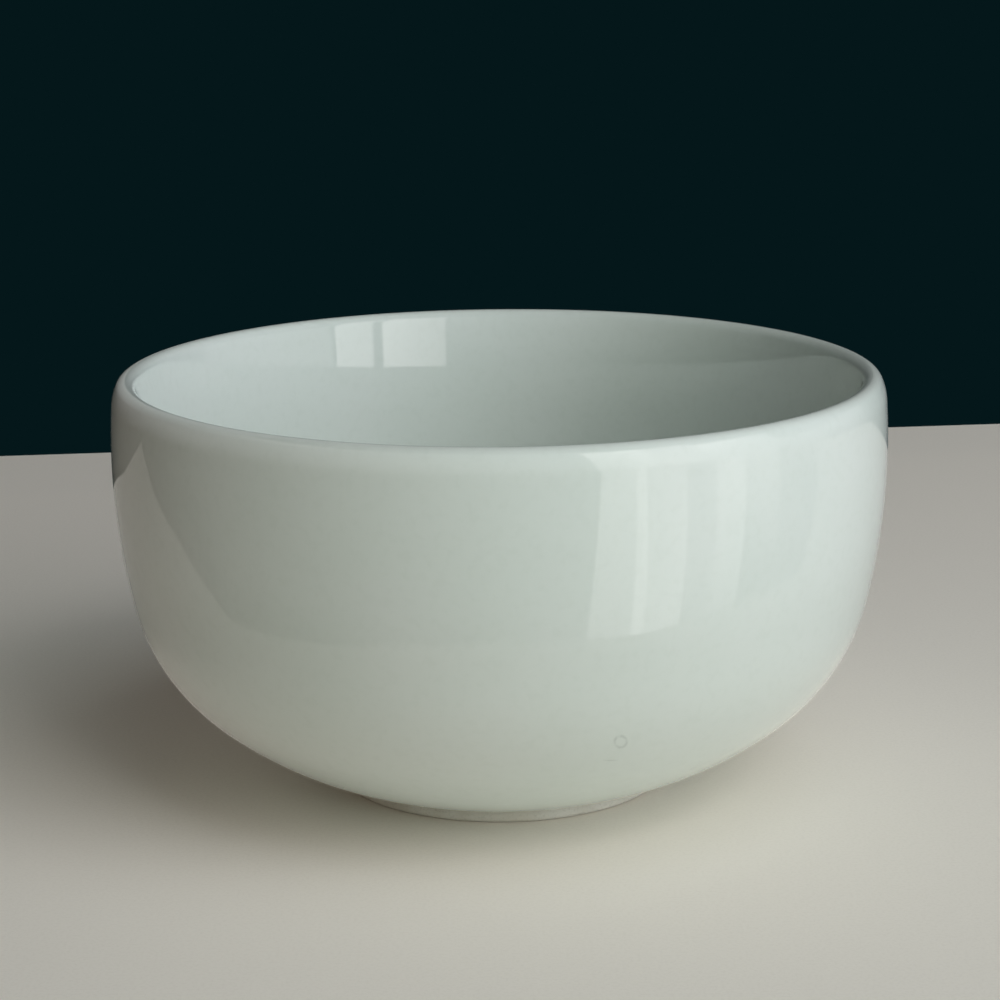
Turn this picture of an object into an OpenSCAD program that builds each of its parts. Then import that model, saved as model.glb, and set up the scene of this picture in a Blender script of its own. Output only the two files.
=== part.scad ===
// Latte bowl of glazed porcelain, standing on a bare foot ring.
// The origin is on the table under the middle of the bowl, +Z is up, lengths are in millimetres.
// The profile is a chain of arcs that run on into each other without a crease. Its slopes are measured
// from level, in degrees, going from the foot ring up the outside. The glaze is an even coat along it.

/* [Bowl] */
// Widest diameter of the outside, over the glaze
bowl_d = 130; // [120:1:140]
// Height from the table to the crest of the lip
bowl_h = 70.2; // [64:0.1:76]
// Height at which the round belly runs into the upright wall
belly_h = 33; // [31:0.5:36]
// Thickness of the wall under the flare, over the glaze
wall_t = 6.7; // [6.4:0.1:7]
// Thickness of the round lip, over the glaze
lip_t = 3.5; // [3.2:0.1:3.6]
// Radius of the soft shoulder by which the outside turns in under the lip
shoulder_r = 8.5; // [7.5:0.5:9.5]
// Share of the height above the belly over which the inside flares out to the lip
flare_share = 0.5; // [0.46:0.02:0.52]
// Thickness of the floor in the middle, over the glaze
floor_t = 4.8; // [4:0.1:6]
// Diameter of the flat in the middle of the well
well_d = 40; // [34:1:46]

/* [Slopes] */
// Slope of the outside where it leaves the foot ring
foot_slope = 16; // [12:0.5:18]
// Slope at which the shallow underside runs into the belly
belly_slope = 40.5; // [38:0.5:42]
// Slope at which the belly runs into the wall
wall_slope = 78; // [77:0.5:80]
// Lean of the outside past upright where the wall runs into the shoulder
shoulder_lean = 4.5; // [4:0.25:5]
// Lean of the outside past upright where the shoulder runs into the lip
lip_lean = 26; // [24:1:28]

/* [Foot ring] */
// Outside diameter of the foot ring
foot_d = 58; // [54:0.5:60]
// Height of the foot ring's bare side, from the table to the edge of the glaze
foot_h = 2.2; // [1.8:0.1:3]
// Width of the foot ring, from its outside to its inside
foot_w = 4.5; // [3.5:0.1:6]
// Radius of the two rounded edges under the foot ring
foot_edge_r = 0.8; // [0.4:0.1:1.2]

/* [Glaze] */
// Thickness of each coat of glaze
glaze_t = 0.3; // [0.2:0.05:0.5]

/* [Hidden] */

// Facets to a full turn, and steps along each arc of the profile
$fn = 240;
arc_steps = 12;

// Angles of a quarter turn, a half turn and a full turn
quarter_turn = 90;
half_turn = 180;
full_turn = 360;

// Side of an arc that is clay: towards the arc's centre, or away from it
CLAY_IN = 1;
CLAY_OUT = -1;

// Direction away from the centre of an arc, where the profile has slope a
function away(a) = [sin(a), -cos(a)];

// Slope of the profile where v is the direction away from the centre, for the inside of the lip
function slope_towards(v) = full_turn + atan2(v.x, -v.y);

// An arc is [centre, radius, first slope, last slope, side of the clay].
// This is its point at slope a, at a depth below the surface
function arc_point(arc, a, depth = 0) = arc[0] + (arc[1] - arc[4] * depth) * away(a);

// Point i of the steps along an arc
function step_point(arc, i, depth) =
    arc_point(arc, arc[2] + (arc[3] - arc[2]) * i / arc_steps, depth);

// Points along a chain of arcs, at a depth below the surface
function chain_points(chain, depth = 0) =
    concat(
        [step_point(chain[0], 0, depth)],
        [for (arc = chain) for (i = [1 : arc_steps]) step_point(arc, i, depth)]
    );

// A list of points in the other direction, without the first few that are left out
function backwards(points, left_out = 0) =
    [for (i = [len(points) - 1 - left_out : -1 : 0]) points[i]];

// Radii of two arcs that turn from slope a through slope b to slope c while they cover the given step
function two_radii(step, a, b, c) =
    let (
        first = [sin(b) - sin(a), cos(a) - cos(b)],
        second = [sin(c) - sin(b), cos(b) - cos(c)],
        det = first.x * second.y - second.x * first.y
    )
    [(step.x * second.y - step.y * second.x) / det, (step.y * first.x - step.x * first.y) / det];

// Underside and belly arcs that run from a start point at slope a to an end point at wall_slope
function lower_arcs(start, end, a, clay) =
    let (
        radii = two_radii(end - start, a, belly_slope, wall_slope),
        under = [start - radii[0] * away(a), radii[0], a, belly_slope, clay],
        joint = arc_point(under, belly_slope)
    )
    [under, [joint - radii[1] * away(belly_slope), radii[1], belly_slope, wall_slope, clay]];

// Heights that the round lip and the shoulder under it take up
lip_r = lip_t / 2;
lip_slope = quarter_turn + lip_lean;
shoulder_slope = quarter_turn + shoulder_lean;
lip_rise = lip_r * (1 + cos(lip_slope));
shoulder_rise = shoulder_r * (cos(shoulder_slope) - cos(lip_slope));

// Outside of the wall: one arc from the belly to the shoulder, widest where it is upright
wall_rise = bowl_h - belly_h - lip_rise - shoulder_rise;
wall_r = wall_rise / (cos(wall_slope) - cos(shoulder_slope));
wall_c = [bowl_d / 2 - wall_r, belly_h + wall_r * cos(wall_slope)];
outer_wall = [wall_c, wall_r, wall_slope, shoulder_slope, CLAY_IN];

// Shoulder: a tighter arc that turns the outside in to the lip
shoulder_c = arc_point(outer_wall, shoulder_slope, shoulder_r);
shoulder = [shoulder_c, shoulder_r, shoulder_slope, lip_slope, CLAY_IN];

// Inside of the wall: even with the outside, from the belly to the start of the flare
inner_r = wall_r - wall_t;
flare_z = bowl_h - flare_share * (bowl_h - belly_h);
flare_slope = acos((wall_c.y - flare_z) / inner_r);
inner_wall = [wall_c, inner_r, wall_slope, flare_slope, CLAY_OUT];

// Flare: an arc on the inside that leaves the wall and runs into the lip, thinning the wall on its way
lip_c = arc_point(shoulder, lip_slope, lip_r);
flare_start = arc_point(inner_wall, flare_slope);
flare_away = away(flare_slope + half_turn);
flare_step = lip_c - flare_start;
flare_r = (lip_r * lip_r - flare_step * flare_step) / (2 * (flare_step * flare_away + lip_r));
flare_c = flare_start - flare_r * flare_away;
flare_end = slope_towards(lip_c - flare_c);
flare = [flare_c, flare_r, flare_slope + half_turn, flare_end, CLAY_IN];

// Lip: a round edge in two arcs that meet at its crest
outer_lip = [lip_c, lip_r, lip_slope, half_turn, CLAY_IN];
inner_lip = [lip_c, lip_r, flare_end, half_turn, CLAY_IN];

// Outside of the bowl, from the foot ring to the crest of the lip
foot_or = foot_d / 2;
foot_ir = foot_or - foot_w;
foot_top = [foot_or, foot_h];
outer_lower = lower_arcs(foot_top, arc_point(outer_wall, wall_slope), foot_slope, CLAY_IN);
outside = concat(outer_lower, [outer_wall, shoulder, outer_lip]);

// Underside of the clay, which lies flat on the foot ring
seat = arc_point(outside[0], foot_slope, glaze_t);
base_z = seat.y;

// Inside of the bowl, from the flat in the well to the crest of the lip
well_z = base_z - glaze_t + floor_t;
well_edge = [well_d / 2, well_z];
inner_lower = lower_arcs(well_edge, arc_point(inner_wall, wall_slope), 0, CLAY_OUT);
inside = concat(inner_lower, [inner_wall, flare, inner_lip]);

// Clay of the wall, the floor and the lip
module porcelain_body() {
    up_outside = chain_points(outside, glaze_t);
    down_inside = backwards(chain_points(inside, glaze_t), 1);
    color("ivory")
        rotate_extrude()
            polygon(concat([[0, base_z]], up_outside, down_inside, [[0, well_z - glaze_t]]));
}

// Bare ring under the floor, with two rounded edges and a flat tread
module foot_ring() {
    inner_edge = [[foot_ir + foot_edge_r, foot_edge_r], foot_edge_r, -quarter_turn, 0, CLAY_IN];
    outer_edge = [[foot_or - foot_edge_r, foot_edge_r], foot_edge_r, 0, quarter_turn, CLAY_IN];
    tread = concat(chain_points([inner_edge]), chain_points([outer_edge]));
    color("antiquewhite")
        rotate_extrude()
            polygon(concat(tread, [foot_top, seat, [foot_ir, base_z]]));
}

// Coat on the outside, from the foot ring to the crest of the lip
module outer_glaze() {
    color("mintcream")
        rotate_extrude()
            polygon(concat(chain_points(outside), backwards(chain_points(outside, glaze_t))));
}

// Coat on the inside, from the middle of the well to the crest of the lip
module inner_glaze() {
    surface_points = concat([[0, well_z]], chain_points(inside));
    clay_points = concat([[0, well_z - glaze_t]], chain_points(inside, glaze_t));
    color("azure")
        rotate_extrude()
            polygon(concat(surface_points, backwards(clay_points)));
}

// Patch under the floor, inside the foot ring
module base_glaze() {
    color("honeydew")
        translate([0, 0, base_z - glaze_t])
            cylinder(h = glaze_t, r = foot_ir);
}

porcelain_body();
foot_ring();
outer_glaze();
inner_glaze();
base_glaze();
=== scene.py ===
"""Latte bowl of glazed porcelain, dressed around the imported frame, on a pale floor in soft window light."""

import math
from collections import namedtuple

import bmesh
import bpy
import numpy as np
from mathutils import Matrix, Vector


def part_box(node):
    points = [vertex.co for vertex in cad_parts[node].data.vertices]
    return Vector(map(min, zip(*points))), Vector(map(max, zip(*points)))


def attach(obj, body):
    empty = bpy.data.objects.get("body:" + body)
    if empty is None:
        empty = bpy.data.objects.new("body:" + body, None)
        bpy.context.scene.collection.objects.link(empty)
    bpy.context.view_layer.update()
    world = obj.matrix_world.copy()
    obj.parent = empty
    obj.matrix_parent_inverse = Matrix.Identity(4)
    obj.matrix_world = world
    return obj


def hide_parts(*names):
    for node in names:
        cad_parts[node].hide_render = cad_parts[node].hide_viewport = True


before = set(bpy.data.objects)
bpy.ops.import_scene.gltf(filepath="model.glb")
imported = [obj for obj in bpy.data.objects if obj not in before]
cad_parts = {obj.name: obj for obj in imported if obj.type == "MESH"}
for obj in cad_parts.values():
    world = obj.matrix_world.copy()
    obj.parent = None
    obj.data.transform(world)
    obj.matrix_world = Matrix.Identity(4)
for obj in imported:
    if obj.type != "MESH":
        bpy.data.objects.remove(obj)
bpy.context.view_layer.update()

MM = 0.001

# Sizes that the frame gives, in metres
OUTER_LOW, OUTER_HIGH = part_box("outer_glaze")
FOOT_LOW, FOOT_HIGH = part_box("foot_ring")
INNER_LOW, INNER_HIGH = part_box("inner_glaze")
BASE_LOW, BASE_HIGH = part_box("base_glaze")
BOWL_R = min(OUTER_HIGH.x, OUTER_HIGH.y)
BOWL_H = OUTER_HIGH.z
FOOT_R = min(FOOT_HIGH.x, FOOT_HIGH.y)
FOOT_H = OUTER_LOW.z
FOOT_INNER_R = min(BASE_HIGH.x, BASE_HIGH.y)
BASE_Z = FOOT_HIGH.z
GLAZE_T = BASE_HIGH.z - BASE_LOW.z
WELL_Z = INNER_LOW.z + GLAZE_T

# Sizes of the profile that no box gives, as on the CAD part; slopes in degrees from level
BELLY_H = 33 * MM
WALL_T = 6.7 * MM
LIP_T = 3.5 * MM
SHOULDER_R = 8.5 * MM
FLARE_SHARE = 0.5
WELL_R = 20 * MM
FOOT_EDGE_R = 0.8 * MM
FOOT_SLOPE = 16
BELLY_SLOPE = 40.5
WALL_SLOPE = 78
SHOULDER_SLOPE = 94.5
LIP_SLOPE = 116

# Clay lies towards the centre of an arc, or away from it
CLAY_IN = 1
CLAY_OUT = -1

# Fineness of the meshes
SEGMENTS = 480
POINT_STEP = 1.2 * MM
MIN_STEPS = 12
EDGE_STEPS = 8
SHARP_ANGLE = math.radians(40)

# Unevenness of the real thing: all of it stays inside the CAD solids
THIN_MOST = 0.09 * MM
THIN_FADE = 6 * MM
LINE_LIFT = 0.22 * MM
LINE_FADE = 3 * MM
FOOT_WEAR = 0.07 * MM
BASE_RIPPLE = 0.018 * MM
BASE_RIPPLE_PITCH = 2.6 * MM
BASE_STEP = 0.4 * MM
MENISCUS_W = 0.9 * MM
MENISCUS_H = 0.45 * MM

# Waves of the thin places: lobes around, pitch along the profile in metres, phase and weight
OUTSIDE_WAVES = [(2, 0.16, 0.4, 0.4), (3, -0.11, 2.0, 0.3), (5, 0.07, 4.1, 0.2), (9, -0.05, 1.3, 0.1)]
INSIDE_WAVES = [(2, -0.14, 1.4, 0.4), (3, 0.1, 0.5, 0.3), (4, -0.08, 3.0, 0.2), (7, 0.05, 5.3, 0.1)]

# Waves around the lower glaze line and around the two edges of the foot: lobes, phase and weight
LINE_WAVES = [(2, 0.6, 1), (5, 2, 0.6), (11, 1, 0.4)]
INNER_EDGE_WAVES = [(3, 1, 1), (10, 2, 1)]
OUTER_EDGE_WAVES = [(4, 1, 1), (13, 2, 1)]

Arc = namedtuple("Arc", "centre radius first last clay")

TURN = np.linspace(0, 2 * math.pi, SEGMENTS, endpoint=False)


def away(slope):
    """Direction away from the centre of an arc, where the profile has this slope in degrees."""
    a = math.radians(slope)
    return np.array([math.sin(a), -math.cos(a)])


def arc_point(arc, slope, depth=0.0):
    """Point of an arc at a slope, at a depth below the surface."""
    return arc.centre + (arc.radius - arc.clay * depth) * away(slope)


def arc_length(arc):
    """Length of an arc on the surface."""
    return arc.radius * math.radians(abs(arc.last - arc.first))


def lower_arcs(start, end, slope, clay):
    """Underside and belly arcs from a start point at a slope to an end point at WALL_SLOPE."""
    turns = np.array([away(BELLY_SLOPE) - away(slope), away(WALL_SLOPE) - away(BELLY_SLOPE)])
    radii = np.linalg.solve(turns.T, end - start)
    under = Arc(start - radii[0] * away(slope), radii[0], slope, BELLY_SLOPE, clay)
    joint = arc_point(under, BELLY_SLOPE)
    belly = Arc(joint - radii[1] * away(BELLY_SLOPE), radii[1], BELLY_SLOPE, WALL_SLOPE, clay)
    return [under, belly]


def profile():
    """Arcs of the outside, from the foot to the lip, and of the inside, from the well to the lip."""
    lip_r = LIP_T / 2
    lip_rise = lip_r * (1 - away(LIP_SLOPE)[1])
    shoulder_rise = SHOULDER_R * (away(LIP_SLOPE)[1] - away(SHOULDER_SLOPE)[1])
    wall_rise = BOWL_H - BELLY_H - lip_rise - shoulder_rise
    wall_r = wall_rise / (away(SHOULDER_SLOPE)[1] - away(WALL_SLOPE)[1])
    wall_c = np.array([BOWL_R - wall_r, BELLY_H - wall_r * away(WALL_SLOPE)[1]])
    outer_wall = Arc(wall_c, wall_r, WALL_SLOPE, SHOULDER_SLOPE, CLAY_IN)
    shoulder_c = arc_point(outer_wall, SHOULDER_SLOPE, SHOULDER_R)
    shoulder = Arc(shoulder_c, SHOULDER_R, SHOULDER_SLOPE, LIP_SLOPE, CLAY_IN)
    lip_c = arc_point(shoulder, LIP_SLOPE, lip_r)

    flare_z = BOWL_H - FLARE_SHARE * (BOWL_H - BELLY_H)
    flare_slope = math.degrees(math.acos((wall_c[1] - flare_z) / (wall_r - WALL_T)))
    inner_wall = Arc(wall_c, wall_r - WALL_T, WALL_SLOPE, flare_slope, CLAY_OUT)
    flare_start = arc_point(inner_wall, flare_slope)
    flare_away = away(flare_slope + 180)
    flare_step = lip_c - flare_start
    flare_r = (lip_r**2 - flare_step @ flare_step) / (2 * (flare_step @ flare_away + lip_r))
    flare_c = flare_start - flare_r * flare_away
    flare_end = 360 + math.degrees(math.atan2(lip_c[0] - flare_c[0], flare_c[1] - lip_c[1]))
    flare = Arc(flare_c, flare_r, flare_slope + 180, flare_end, CLAY_IN)

    foot_top = np.array([FOOT_R, FOOT_H])
    well_edge = np.array([WELL_R, WELL_Z])
    outside = lower_arcs(foot_top, arc_point(outer_wall, WALL_SLOPE), FOOT_SLOPE, CLAY_IN)
    outside += [outer_wall, shoulder, Arc(lip_c, lip_r, LIP_SLOPE, 180, CLAY_IN)]
    inside = lower_arcs(well_edge, arc_point(inner_wall, WALL_SLOPE), 0, CLAY_OUT)
    inside += [inner_wall, flare, Arc(lip_c, lip_r, flare_end, 180, CLAY_IN)]
    return outside, inside


outside, inside = profile()


def chain_steps(chain):
    """Lengths along a chain of arcs, about POINT_STEP apart and closer on short arcs, as a column."""
    steps = [np.zeros(1)]
    for arc in chain:
        count = max(MIN_STEPS, math.ceil(arc_length(arc) / POINT_STEP))
        steps.append(steps[-1][-1] + np.linspace(0, arc_length(arc), count + 1)[1:])
    return np.concatenate(steps)[:, None]


def along(chain, s, depth):
    """Radius and height at lengths s along a chain of arcs, at depths below the surface."""
    s, depth = np.broadcast_arrays(s, depth)
    lengths = np.array([arc_length(arc) for arc in chain])
    starts = np.cumsum(lengths) - lengths
    k = np.clip(np.searchsorted(starts, s, side="right") - 1, 0, len(chain) - 1)
    centre, radius, first, last, clay = (np.array(column)[k] for column in zip(*chain))
    slope = np.radians(first + (last - first) * (s - starts[k]) / lengths[k])
    reach = radius - clay * depth
    return np.stack([centre[..., 0] + reach * np.sin(slope), centre[..., 1] - reach * np.cos(slope)], -1)


def ease(x):
    """Smooth step from 0 to 1."""
    x = np.clip(x, 0, 1)
    return x * x * (3 - 2 * x)


def thinning(s, length, waves):
    """How far the glaze has run thin at lengths s of a coat, around the turn; nothing at its two ends."""
    share = 0
    for lobes, pitch, phase, weight in waves:
        share = share + weight * (1 + np.cos(lobes * TURN + 2 * math.pi * s / pitch + phase)) / 2
    return THIN_MOST * share * ease(s / THIN_FADE) * ease((length - s) / THIN_FADE)


def around(waves):
    """Share from 0 to 1 around the turn, from waves of lobes, phase and weight."""
    total = sum(weight for lobes, phase, weight in waves)
    height = sum(weight * (1 + np.cos(lobes * TURN + phase)) for lobes, phase, weight in waves)
    return height / (2 * total)


def turned(points):
    """Rings of points around the axis, from the radius and height of one profile or of one per segment."""
    count = len(points)
    rows = np.broadcast_to(np.reshape(points, (count, -1, 2)), (count, SEGMENTS, 2))
    r, z = rows.transpose(2, 0, 1)
    return np.stack([r * np.cos(TURN), r * np.sin(TURN), z], -1)


def add_mesh(name, bm):
    """A new object in the scene from a bmesh, which is used up."""
    mesh = bpy.data.meshes.new(name)
    bm.to_mesh(mesh)
    bm.free()
    obj = bpy.data.objects.new(name, mesh)
    bpy.context.scene.collection.objects.link(obj)
    return obj


def ring_mesh(name, rings, closed):
    """Object from rings of points: closed in a loop, or capped on the axis by its first and last ring."""
    count = len(rings)
    bm = bmesh.new()
    rows = []
    for i, ring in enumerate(rings):
        capped = not closed and i in (0, count - 1)
        rows.append([bm.verts.new(ring.mean(0))] if capped else [bm.verts.new(p) for p in ring])
    pairs = list(zip(rows, rows[1:])) + ([(rows[-1], rows[0])] if closed else [])
    for low, high in pairs:
        for i in range(SEGMENTS):
            j = (i + 1) % SEGMENTS
            corners = [low[i % len(low)], low[j % len(low)], high[j % len(high)], high[i % len(high)]]
            bm.faces.new(list(dict.fromkeys(corners)))
    bmesh.ops.recalc_face_normals(bm, faces=bm.faces)
    obj = add_mesh(name, bm)
    obj.data.shade_smooth()
    obj.data.set_sharp_from_angle(angle=SHARP_ANGLE)
    return obj


def glaze_outside():
    """Coat of the outside, with a round bead at its wavering lower line."""
    bead_r = GLAZE_T / 2
    steps = chain_steps(outside)
    length = steps[-1, 0]
    s = np.vstack([[[bead_r]], steps[steps[:, 0] > 2 * bead_r]])
    line = LINE_LIFT * around(LINE_WAVES)
    lifted = s + line * ease(1 - s / LINE_FADE)
    top = along(outside, lifted, thinning(s, length, OUTSIDE_WAVES))
    bottom = along(outside, lifted, GLAZE_T)
    round_edge = np.linspace(math.pi, 0, EDGE_STEPS + 1)[1:-1, None]
    bead = along(outside, bead_r * (1 - np.sin(round_edge)) + line, bead_r * (1 - np.cos(round_edge)))
    return ring_mesh("glaze_outside", turned(np.vstack([top, bottom[::-1], bead])), True)


def glaze_inside():
    """Coat of the inside, from the middle of the well to the crest of the lip."""
    steps = chain_steps(inside)
    length = WELL_R + steps[-1, 0]
    flat = np.linspace(0, WELL_R, MIN_STEPS, endpoint=False)[:, None]

    def surface(flat_depth, depth):
        well = np.stack(np.broadcast_arrays(flat, WELL_Z - flat_depth), -1)
        return np.vstack([well, along(inside, np.broadcast_to(steps, (len(steps), SEGMENTS)), depth)])

    top = surface(thinning(flat, length, INSIDE_WAVES), thinning(WELL_R + steps, length, INSIDE_WAVES))
    bottom = surface(np.full((len(flat), SEGMENTS), GLAZE_T), GLAZE_T)
    return ring_mesh("glaze_inside", turned(np.vstack([top, bottom[::-1]])), False)


def glaze_base():
    """Coat under the floor, with faint turning rings, and drawn down a little along the foot ring."""
    r = np.linspace(0, FOOT_INNER_R, math.ceil(FOOT_INNER_R / BASE_STEP))
    ripple = BASE_RIPPLE * (1 - np.cos(2 * math.pi * r / BASE_RIPPLE_PITCH))
    drawn = MENISCUS_H * np.clip(1 - (FOOT_INNER_R - r) / MENISCUS_W, 0, 1) ** 2
    under = np.stack([r, BASE_LOW.z + ripple - drawn], -1)
    back = np.array([[FOOT_INNER_R, BASE_Z], [0, BASE_Z]])
    return ring_mesh("glaze_base", turned(np.vstack([under, back])), False)


def foot():
    """Bare ring with a flat ground tread, whose two edges are unevenly worn."""
    inner_edge = Arc(np.array([FOOT_INNER_R + FOOT_EDGE_R, FOOT_EDGE_R]), FOOT_EDGE_R, -90, 0, CLAY_IN)
    outer_edge = Arc(np.array([FOOT_R - FOOT_EDGE_R, FOOT_EDGE_R]), FOOT_EDGE_R, 0, 90, CLAY_IN)
    rows = [np.broadcast_to([FOOT_INNER_R, BASE_Z], (1, SEGMENTS, 2))]
    share = np.linspace(0, 1, EDGE_STEPS + 1)[:, None]
    for edge, waves in ((inner_edge, INNER_EDGE_WAVES), (outer_edge, OUTER_EDGE_WAVES)):
        wear = FOOT_WEAR * around(waves)
        rows.append(along([edge], share * arc_length(edge), wear * np.sin(math.pi * share)))
    seat = arc_point(outside[0], FOOT_SLOPE, GLAZE_T)
    rows.append(np.broadcast_to(np.reshape([[FOOT_R, FOOT_H], seat], (2, 1, 2)), (2, SEGMENTS, 2)))
    return ring_mesh("foot", turned(np.vstack(rows)), True)


# Colours of the glaze, the bare clay and the floor
GLAZE_PALE = (0.705, 0.742, 0.695, 1)
GLAZE_GREEN = (0.685, 0.732, 0.678, 1)
# Painted shade: a slight darkening of the glaze lower down
GLAZE_BELLY_SHADE = (0.965, 0.965, 0.96, 1)
# Greener glaze gathered low down, made lighter as painted bounce light
GLAZE_POOL_AND_BOUNCE = (0.755, 0.862, 0.82, 1)
GLAZE_THIN = (0.745, 0.775, 0.71, 1)
GLAZE_MOTTLE = (0.95, 0.955, 0.945, 1)
GLAZE_SPECK = (0.42, 0.41, 0.35, 1)
GLAZE_MARK = (0.42, 0.46, 0.42, 1)
CLAY_PALE = (0.69, 0.66, 0.59, 1)
CLAY_WARM = (0.64, 0.60, 0.52, 1)
CLAY_GRAIN = (0.50, 0.47, 0.40, 1)
TREAD_GREY = (0.56, 0.54, 0.49, 1)
FLOOR_PALE = (0.91, 0.84, 0.75, 1)
FLOOR_FLECK = (0.88, 0.81, 0.72, 1)

# Finish: mirror strength, depth of the bumps, and roughness and gloss of the floor
GLAZE_IOR = 1.5
PEEL_DEPTH = 0.0025 * MM
GRAIN_DEPTH = 0.03 * MM
FLOOR_ROUGHNESS = 0.9
FLOOR_SPECULAR = 0.1

# Heights between which the tone changes, and how far it goes at the second one
# Painted shade: the glaze darkens from the first height down to the second
BELLY_SHADE = (48 * MM, 36 * MM, 0, 1)
LIP_TONE = (BOWL_H - LIP_T / 3, BOWL_H, 0, 0.6)
TREAD_TONE = (0.4 * MM, 0.05 * MM, 0, 0.7)
# Gathered glaze and painted bounce light: lighter and greener from the first height down to the second
OUTSIDE_POOL_AND_BOUNCE = (10 * FOOT_H, FOOT_H, 0, 0.9)
INSIDE_POOL_AND_BOUNCE = (2 * WELL_Z, WELL_Z, 0, 0.4)
BASE_POOL_AND_BOUNCE = (FOOT_H, FOOT_H - MENISCUS_H, 0, 0.8)

# Clouds: scale per metre, detail, the span of the noise that counts, and what its two ends give
GLAZE_CLOUD = (26, 2, 0.35, 0.65, 0, 1)
MOTTLE_CLOUD = (620, 3, 0.45, 0.75, 0, 0.5)
GLAZE_ROUGHNESS = (75, 2, 0.3, 0.7, 0.03, 0.05)
MARK_CLOUD = (900, 2, 0.35, 0.65, 0.15, 0.5)
CLAY_CLOUD = (140, 3, 0.35, 0.65, 0, 1)
GRAIN_CLOUD = (2400, 3, 0.5, 0.75, 0, 0.5)
CLAY_ROUGHNESS = (2400, 3, 0.3, 0.7, 0.62, 0.84)
FLECK_CLOUD = (1800, 3, 0.4, 0.7, 0, 1)
PEEL_NOISE = (330, 1)
GRAIN_NOISE = (2400, 3)

# Specks: scale per metre, size in cells, rarity and share
GLAZE_SPECKS = (420, 0.055, 0.985, 0.35)
CLAY_SPECKS = (900, 0.12, 0.95, 0.6)

# Painted light on the mirrored table close to the bowl, a glow that lifts the bowl's shadow as the glaze
# mirrors it: two distances and what each gives
GLOW_RISE = (38 * MM, 58 * MM, 0.06, 0.2)
GLOW_FADE = (75 * MM, 115 * MM, 1, 0)

# Blemish in the glaze on the front: a small ring and a dash under it, each drawn out along a line
MARK_AT = (17.8 * MM, -56.18 * MM, 23.35 * MM)
MARK_ALONG = (0.048, 0.943, -0.329)
MARK_R = 0.9 * MM
MARK_W = 0.38 * MM
MARK_SQUEEZE = 0.7
DASH_AT = (16.48 * MM, -53.94 * MM, 19.56 * MM)
DASH_ALONG = (0.909, 0.389, -0.149)
DASH_HALF_W = 0.32 * MM
DASH_SQUEEZE = 0.83
DASH_SHARE = 0.55


def principled(name):
    """A new material, its node tree and its shader."""
    material = bpy.data.materials.new(name)
    material.use_nodes = True
    return material, material.node_tree, material.node_tree.nodes["Principled BSDF"]


def add(tree, kind, inputs, **settings):
    """A new node with its settings, where each input takes a value or a link."""
    made = tree.nodes.new("ShaderNode" + kind)
    for key, value in settings.items():
        setattr(made, key, value)
    for key, value in inputs.items():
        if isinstance(value, bpy.types.NodeSocket):
            tree.links.new(value, made.inputs[key])
        else:
            made.inputs[key].default_value = value
    return made


def noise(tree, place, scale, detail):
    """Value of a noise in space."""
    return add(tree, "TexNoise", {"Vector": place, "Scale": scale, "Detail": detail}).outputs["Fac"]


def spread(tree, value, low, high, to_low, to_high):
    """A value that goes smoothly from to_low to to_high as another goes from low to high."""
    inputs = {"Value": value, "From Min": low, "From Max": high, "To Min": to_low, "To Max": to_high}
    return add(tree, "MapRange", inputs, interpolation_type="SMOOTHSTEP").outputs["Result"]


def cloud(tree, place, scale, detail, low, high, to_low, to_high):
    """A value that wanders smoothly from to_low to to_high as a noise goes from low to high."""
    return spread(tree, noise(tree, place, scale, detail), low, high, to_low, to_high)


def maths(tree, operation, first, second=0.0):
    """Result of a sum on one or two values."""
    return add(tree, "Math", {0: first, 1: second}, operation=operation).outputs[0]


def vector(tree, operation, first, second, output="Vector"):
    """Result of a sum on two vectors."""
    return add(tree, "VectorMath", {0: first, 1: second}, operation=operation).outputs[output]


def mixed(tree, share, first, second, kind="MIX"):
    """A first colour, mixed by a share with a second one."""
    return add(tree, "Mix", {0: share, 6: first, 7: second}, data_type="RGBA", blend_type=kind).outputs[2]


def specks(tree, place, scale, size, rarity, share):
    """Share of small round specks: one cell in a few has one, of at most this size in cells."""
    cells = add(tree, "TexVoronoi", {"Vector": place, "Scale": scale})
    chosen = add(tree, "SeparateColor", {0: cells.outputs["Color"]})
    size = spread(tree, chosen.outputs["Red"], rarity, 1, 0, size)
    return maths(tree, "MULTIPLY", maths(tree, "LESS_THAN", cells.outputs["Distance"], size), share)


def bumps(tree, height, depth):
    """Normal of a surface with fine bumps of this depth."""
    return add(tree, "Bump", {"Strength": 1.0, "Distance": depth, "Height": height}).outputs["Normal"]


def squeezed(tree, place, middle, line, squeeze):
    """Distance from a middle, of which the part along a line counts less."""
    offset = vector(tree, "SUBTRACT", place, middle)
    length = maths(tree, "MULTIPLY", vector(tree, "DOT_PRODUCT", offset, line, "Value"), squeeze)
    ahead = add(tree, "VectorMath", {0: line, "Scale": length}, operation="SCALE").outputs["Vector"]
    return vector(tree, "DISTANCE", offset, ahead, "Value")


def blemish(tree, place):
    """Share of the small uneven ring and of the dash."""
    from_middle = squeezed(tree, place, MARK_AT, MARK_ALONG, MARK_SQUEEZE)
    off_ring = maths(tree, "ABSOLUTE", maths(tree, "SUBTRACT", from_middle, MARK_R))
    uneven = cloud(tree, place, *MARK_CLOUD)
    ring = maths(tree, "MULTIPLY", spread(tree, off_ring, 0, MARK_W, 1, 0), uneven)
    off_dash = squeezed(tree, place, DASH_AT, DASH_ALONG, DASH_SQUEEZE)
    dash = spread(tree, off_dash, 0, DASH_HALF_W, DASH_SHARE, 0)
    return maths(tree, "MAXIMUM", ring, dash)


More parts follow.
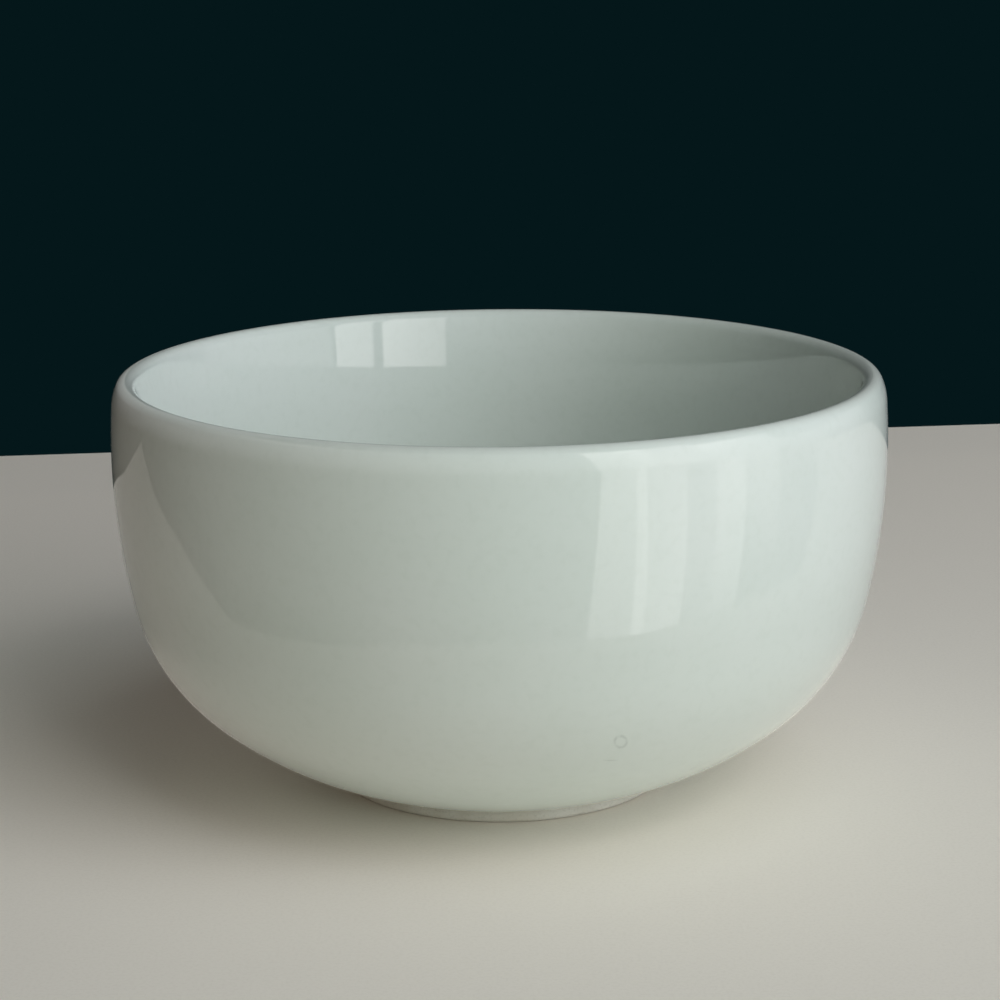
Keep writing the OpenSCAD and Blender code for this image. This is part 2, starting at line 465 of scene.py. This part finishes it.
def glaze_material(name, pool_and_bounce, blemished=False):
    """Glossy clear glaze with a faint green cast, painted shade on the lower belly, and a greener, lighter
    lower end that is partly gathered glaze and partly painted bounce light.
    """
    material, tree, shader = principled(name)
    place = add(tree, "TexCoord", {}).outputs["Object"]
    height = add(tree, "SeparateXYZ", {0: place}).outputs["Z"]
    colour = mixed(tree, cloud(tree, place, *GLAZE_CLOUD), GLAZE_PALE, GLAZE_GREEN)
    # Painted shade: darker on the lower belly and deep inside
    colour = mixed(tree, spread(tree, height, *BELLY_SHADE), colour, GLAZE_BELLY_SHADE, "MULTIPLY")
    # Gathered glaze, lighter as painted bounce light
    colour = mixed(tree, spread(tree, height, *pool_and_bounce), colour, GLAZE_POOL_AND_BOUNCE)
    colour = mixed(tree, spread(tree, height, *LIP_TONE), colour, GLAZE_THIN)
    colour = mixed(tree, cloud(tree, place, *MOTTLE_CLOUD), colour, GLAZE_MOTTLE, "MULTIPLY")
    colour = mixed(tree, specks(tree, place, *GLAZE_SPECKS), colour, GLAZE_SPECK)
    if blemished:
        colour = mixed(tree, blemish(tree, place), colour, GLAZE_MARK)
    tree.links.new(colour, shader.inputs["Base Color"])
    tree.links.new(cloud(tree, place, *GLAZE_ROUGHNESS), shader.inputs["Roughness"])
    tree.links.new(bumps(tree, noise(tree, place, *PEEL_NOISE), PEEL_DEPTH), shader.inputs["Normal"])
    shader.inputs["IOR"].default_value = GLAZE_IOR
    return material


def clay_material():
    """Bare fired porcelain: matte and finely grained, greyer on the tread."""
    material, tree, shader = principled("bare_porcelain")
    place = add(tree, "TexCoord", {}).outputs["Object"]
    height = add(tree, "SeparateXYZ", {0: place}).outputs["Z"]
    colour = mixed(tree, cloud(tree, place, *CLAY_CLOUD), CLAY_PALE, CLAY_WARM)
    colour = mixed(tree, cloud(tree, place, *GRAIN_CLOUD), colour, CLAY_GRAIN)
    colour = mixed(tree, spread(tree, height, *TREAD_TONE), colour, TREAD_GREY)
    colour = mixed(tree, specks(tree, place, *CLAY_SPECKS), colour, GLAZE_SPECK)
    tree.links.new(colour, shader.inputs["Base Color"])
    tree.links.new(cloud(tree, place, *CLAY_ROUGHNESS), shader.inputs["Roughness"])
    tree.links.new(bumps(tree, noise(tree, place, *GRAIN_NOISE), GRAIN_DEPTH), shader.inputs["Normal"])
    return material


def floor_material(name, glowing=False):
    """Plain pale matte floor with a fine fleck, which can glow faintly around the bowl."""
    material, tree, shader = principled(name)
    place = add(tree, "TexCoord", {}).outputs["Object"]
    colour = mixed(tree, cloud(tree, place, *FLECK_CLOUD), FLOOR_PALE, FLOOR_FLECK)
    tree.links.new(colour, shader.inputs["Base Color"])
    shader.inputs["Roughness"].default_value = FLOOR_ROUGHNESS
    shader.inputs["Specular IOR Level"].default_value = FLOOR_SPECULAR
    # Painted light: a glow around the bowl that brightens its mirrored shadow
    if glowing:
        from_axis = vector(tree, "DISTANCE", place, (0, 0, 0), "Value")
        strength = spread(tree, from_axis, *GLOW_RISE)
        strength = maths(tree, "MULTIPLY", strength, spread(tree, from_axis, *GLOW_FADE))
        tree.links.new(colour, shader.inputs["Emission Color"])
        tree.links.new(strength, shader.inputs["Emission Strength"])
        material.cycles.emission_sampling = "NONE"
    return material


def dress(obj, slot, material, *nodes):
    """Gives a piece its material and its body, and hides the CAD nodes that it stands for; slot is not used.
    """
    obj.data.materials.append(material)
    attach(obj, "root")
    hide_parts(*nodes)


clay = clay_material()
coat_outside = glaze_outside()
coat_inside = glaze_inside()
dress(coat_outside, "glaze", glaze_material("glaze_outside", OUTSIDE_POOL_AND_BOUNCE, True), "outer_glaze")
dress(coat_inside, "glaze", glaze_material("glaze_inside", INSIDE_POOL_AND_BOUNCE), "inner_glaze")
dress(glaze_base(), "glaze", glaze_material("glaze_base", BASE_POOL_AND_BOUNCE), "base_glaze")
dress(foot(), "porcelain", clay, "foot_ring")
body_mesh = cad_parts["porcelain_body"].data
body_mesh.materials.clear()
body_mesh.materials.append(clay)

# Stage: a pale floor that ends behind the bowl, in front of a plain dark room
FLOOR_R = 0.32
FLOOR_SEGMENTS = 256
FAR_ANGLES = (129.75, 422.86)
WINDOW = (1.0, 0.97, 0.96)
BACKDROP = (0.0015, 0.0086, 0.0103)
AMBIENT = (0.002, 0.002, 0.002)
ROOM_MIDDLE = Vector((0, 0, 0.05))

# Edge of the table as the glaze mirrors it, from the front around to the right, the back and the left
GLOSS_Z = 0.02 * MM
GLOSS_EDGE = [
    (-0.122, -0.047), (-0.091, -0.084), (-0.049, -0.118), (0, -0.131), (0.05, -0.12), (0.094, -0.1),
    (0.133, -0.069), (0.166, -0.025), (0.35, 0.03), (0.6, 0.06), (0.6, 0.32), (-0.17, 0.2), (-0.225, 0.186),
    (-0.28, 0.192), (-0.393, 0.212), (-0.306, 0.114), (-0.255, 0.06), (-0.219, 0.017), (-0.184, -0.011),
    (-0.148, -0.034),
]

# Lamps for all but the inside: name, degrees right of the camera, degrees up, radiance and colour
LAMP_DISTANCE = 1.2
LAMP_SIZE = 0.9
LAMPS = [
    ("window_low", 20, 8, 1.61, (0.87, 1.0, 0.91)),
    ("window", 45, 32, 2.05, (1.0, 0.97, 0.97)),
    ("window_high", 45, 60, 1.55, (0.81, 0.95, 1.0)),
    ("window_side", 70, 8, 1.78, (0.77, 0.83, 1.0)),
    ("fill", -75, 8, 0.43, (1.0, 0.7, 0.6)),
    ("back_left", -150, 8, 0.75, (1.0, 1.0, 1.0)),
    ("back_right", 160, 8, 0.36, (1.0, 1.0, 1.0)),
]

# The same lamps as the inside has them
INSIDE_LAMPS = [
    ("inside_low", 20, 8, 1.75, (0.87, 1.0, 0.91)),
    ("inside_window", 45, 32, 2.05, (1.0, 0.97, 0.97)),
    ("inside_high", 45, 60, 1.2, (0.81, 0.95, 1.0)),
    ("inside_side", 70, 8, 2.7, (0.77, 0.83, 1.0)),
    ("inside_fill", -75, 8, 0.34, (0.92, 0.95, 0.85)),
    ("inside_back_left", -150, 8, 0.6, (1.0, 1.0, 1.0)),
    ("inside_back_right", 160, 8, 0.36, (1.0, 1.0, 1.0)),
]

# Lamp behind the bowl, for the outside alone
BACK_LAMP = ("back", 180, 22, 1.3, (1.0, 0.98, 0.95))

# Patches of the room that one coat of glaze mirrors: azimuth, elevation and strength of four corners
CARD_DISTANCE = 3.0
CARD_STEPS = 8
OUTSIDE_CARDS = [
    ("pane_a", [(25.3, -32, 1.2), (39.2, -32, 1.2), (37.6, 1, 1.9), (28.6, 1, 1.9)]),
    ("pane_b", [(39.2, -32, 2.5), (43.2, -32, 2.5), (40.6, 1, 2.8), (37.6, 1, 2.8)]),
    ("pane_c", [(43.2, -32, 1.75), (55, -32, 1.75), (52.4, 1, 1.65), (40.6, 1, 1.65)]),
    ("pane_d", [(55, -32, 0.45), (64, -32, 0.45), (62, 1, 0.9), (52.4, 1, 0.9)]),
    ("pane_e", [(64, -32, 0.5), (74, -32, 0.4), (72, 1, 2.0), (62, 1, 2.0)]),
    ("pane_f", [(74, -20, 0), (86, -20, 0), (84, 1, 1.2), (72, 1, 1.3)]),
    ("lip_a", [(27.5, 1, 1.9), (44, 1, 2.8), (44, 40, 3.9), (25, 40, 3.2)]),
    ("lip_b", [(44, 1, 2.5), (60, 1, 1.75), (60, 38, 2.0), (44, 38, 2.2)]),
    ("lip_c", [(60, 1, 1.5), (86, 1, 0.7), (86, 30, 1.2), (60, 30, 3.2)]),
    ("lip_d", [(86, -8, 0.15), (130, -8, 0), (130, 12, 0.3), (86, 12, 0.65)]),
]
INSIDE_CARDS = [
    ("upper_a", [(18.5, 1, 2.4), (41, 1, 3.6), (41, 38, 3.6), (18.5, 38, 2.4)]),
    ("upper_b", [(44.5, 1, 2.7), (58.5, 1, 2.9), (58.5, 38, 2.9), (44.5, 38, 2.7)]),
    ("upper_c", [(-100, 6, 0), (18.5, 6, 0.1), (18.5, 18, 0.9), (-100, 18, 0.7)]),
    ("upper_d", [(-100, 18, 0.7), (18.5, 18, 0.9), (18.5, 35, 0), (-100, 35, 0)]),
    ("upper_e", [(60, 1, 0.8), (115, 1, 0.5), (115, 16, 0.4), (60, 16, 0.7)]),
]

# Pale ceiling that the outside mirrors: azimuth, and strength at the middle and the highest elevation
SKY_ELEVATIONS = (-6, 12, 50)
SKY = [
    (-180, 0.12, 0.1), (-130, 0.45, 0.5), (-100, 0.75, 0.9), (-75, 0.6, 1.2), (-40, 0.6, 0.9),
    (-6, 0.7, 0.9), (27.5, 0.7, 0.6),
]


def only_glossy(obj):
    """Leaves an object to mirror rays."""
    obj.visible_camera = False
    obj.visible_diffuse = False
    obj.visible_transmission = False
    obj.visible_shadow = False
    obj.visible_volume_scatter = False


def flat_sheet(name, outline, z, material):
    """A level sheet of the stage from the points of its outline."""
    bm = bmesh.new()
    bm.faces.new([bm.verts.new((x, y, z)) for x, y in outline])
    obj = add_mesh(name, bm)
    obj.data.materials.append(material)
    return obj


def arc_outline(radius, first, last, steps):
    """Points on a circle around the axis, between two angles in degrees."""
    angles = np.radians(np.linspace(first, last, steps))
    return [(radius * math.cos(a), radius * math.sin(a)) for a in angles]


def floors():
    """The floor, and the table that only mirror rays see."""
    outline = arc_outline(FLOOR_R, *FAR_ANGLES, FLOOR_SEGMENTS)
    floor = flat_sheet("floor", outline, 0, floor_material("pale_floor"))
    floor.visible_glossy = False
    only_glossy(flat_sheet("gloss_floor", GLOSS_EDGE, GLOSS_Z, floor_material("gloss_floor", True)))


def direction(az, el):
    """Unit vector to a place in the room: az degrees right of the camera, el degrees above the table."""
    a, e = math.radians(az), math.radians(el)
    return Vector((math.sin(a) * math.cos(e), -math.cos(a) * math.cos(e), math.sin(e)))


def glow():
    """Material of the bright patches, through which the patches behind them show."""
    material = bpy.data.materials.new("glow")
    material.use_nodes = True
    tree = material.node_tree
    tree.nodes.clear()
    strength = add(tree, "Attribute", {}, attribute_name="strength").outputs["Fac"]
    emission = add(tree, "Emission", {"Color": (*WINDOW, 1), "Strength": strength})
    clear = add(tree, "BsdfTransparent", {})
    both = add(tree, "AddShader", {0: emission.outputs[0], 1: clear.outputs[0]})
    add(tree, "OutputMaterial", {"Surface": both.outputs[0]})
    material.cycles.emission_sampling = "NONE"
    return material


def alone(piece):
    """Collection of one piece."""
    collection = bpy.data.collections.new(piece.name + "_alone")
    collection.objects.link(piece)
    return collection


def all_but(piece):
    """Collection that leaves out one piece."""
    collection = alone(piece)
    collection.collection_objects[0].light_linking.link_state = "EXCLUDE"
    return collection


def card(name, corners, material, seen_from):
    """A bright patch of the room's wall between four corners, for mirror rays from one collection alone."""
    a, b, c, d = (np.array(corner, float) for corner in corners)
    shares = np.linspace(0, 1, CARD_STEPS + 1)
    bm = bmesh.new()
    layer = bm.verts.layers.float.new("strength")
    grid = []
    for u in shares:
        row = []
        for v in shares:
            az, el, strength = (1 - u) * (1 - v) * a + u * (1 - v) * b + u * v * c + (1 - u) * v * d
            row.append(bm.verts.new(ROOM_MIDDLE + CARD_DISTANCE * direction(az, el)))
            row[-1][layer] = strength
        grid.append(row)
    for row, after in zip(grid, grid[1:]):
        for j in range(CARD_STEPS):
            bm.faces.new([row[j], after[j], after[j + 1], row[j + 1]])
    obj = add_mesh(name, bm)
    obj.data.materials.append(material)
    only_glossy(obj)
    obj.light_linking.receiver_collection = seen_from


def cards(outside_alone, inside_alone):
    """The window and the ceiling, as each coat of glaze mirrors them."""
    material = glow()
    for name, corners in OUTSIDE_CARDS:
        card(name, corners, material, outside_alone)
    for name, corners in INSIDE_CARDS:
        card(name, corners, material, inside_alone)
    low, middle, high = SKY_ELEVATIONS
    for (az, a, b), (next_az, c, d) in zip(SKY, SKY[1:]):
        lower = [(az, low, 0), (next_az, low, 0), (next_az, middle, c), (az, middle, a)]
        upper = [(az, middle, a), (next_az, middle, c), (next_az, high, d), (az, high, b)]
        card("sky_low", lower, material, outside_alone)
        card("sky_high", upper, material, outside_alone)


def lamp(name, az, el, radiance, colour, lit):
    """A soft square lamp towards the bowl, for one collection alone."""
    light = bpy.data.lights.new(name, "AREA")
    light.shape = "SQUARE"
    light.size = LAMP_SIZE
    light.energy = radiance * math.pi * LAMP_SIZE**2
    light.color = colour
    obj = bpy.data.objects.new(name, light)
    obj.location = ROOM_MIDDLE + LAMP_DISTANCE * direction(az, el)
    obj.rotation_mode = "QUATERNION"
    obj.rotation_quaternion = (-direction(az, el)).to_track_quat("-Z", "Y")
    obj.visible_glossy = False
    obj.visible_camera = False
    obj.light_linking.receiver_collection = lit
    bpy.context.scene.collection.objects.link(obj)


def room():
    """A plain dark room, as the camera and mirror rays see it, with a faint even light."""
    world = bpy.data.worlds.new("room")
    bpy.context.scene.world = world
    world.use_nodes = True
    tree = world.node_tree
    tree.nodes.clear()
    path = add(tree, "LightPath", {})
    seen = maths(tree, "MAXIMUM", path.outputs["Is Camera Ray"], path.outputs["Is Glossy Ray"])
    ambient = add(tree, "Background", {"Color": (*AMBIENT, 1)})
    plain = add(tree, "Background", {"Color": (*BACKDROP, 1)})
    both = add(tree, "MixShader", {0: seen, 1: ambient.outputs[0], 2: plain.outputs[0]})
    add(tree, "OutputWorld", {"Surface": both.outputs[0]})


floors()
room()
outside_alone = alone(coat_outside)
inside_alone = alone(coat_inside)
not_inside = all_but(coat_inside)
cards(outside_alone, inside_alone)
lamp(*BACK_LAMP, outside_alone)
for settings in LAMPS:
    lamp(*settings, not_inside)
for settings in INSIDE_LAMPS:
    lamp(*settings, inside_alone)

# Camera, fitted to the bowl's outline in the photo
CAMERA_AT = Vector((0, -0.405546, 0.145133))
CAMERA_DOWN = 13.551
CAMERA_ROLL = -0.52
SENSOR = 36.0
LENS = 88.2
CLIP = (0.01, 20)


def camera():
    """The scene's camera."""
    data = bpy.data.cameras.new("camera")
    data.sensor_width = SENSOR
    data.lens = LENS
    data.clip_start, data.clip_end = CLIP
    obj = bpy.data.objects.new("camera", data)
    tilt = Matrix.Rotation(math.radians(90 - CAMERA_DOWN), 4, "X")
    roll = Matrix.Rotation(math.radians(CAMERA_ROLL), 4, "Z")
    obj.matrix_world = Matrix.Translation(CAMERA_AT) @ tilt @ roll
    bpy.context.scene.collection.objects.link(obj)
    bpy.context.scene.camera = obj


camera()
bpy.context.scene.view_settings.view_transform = "Standard"
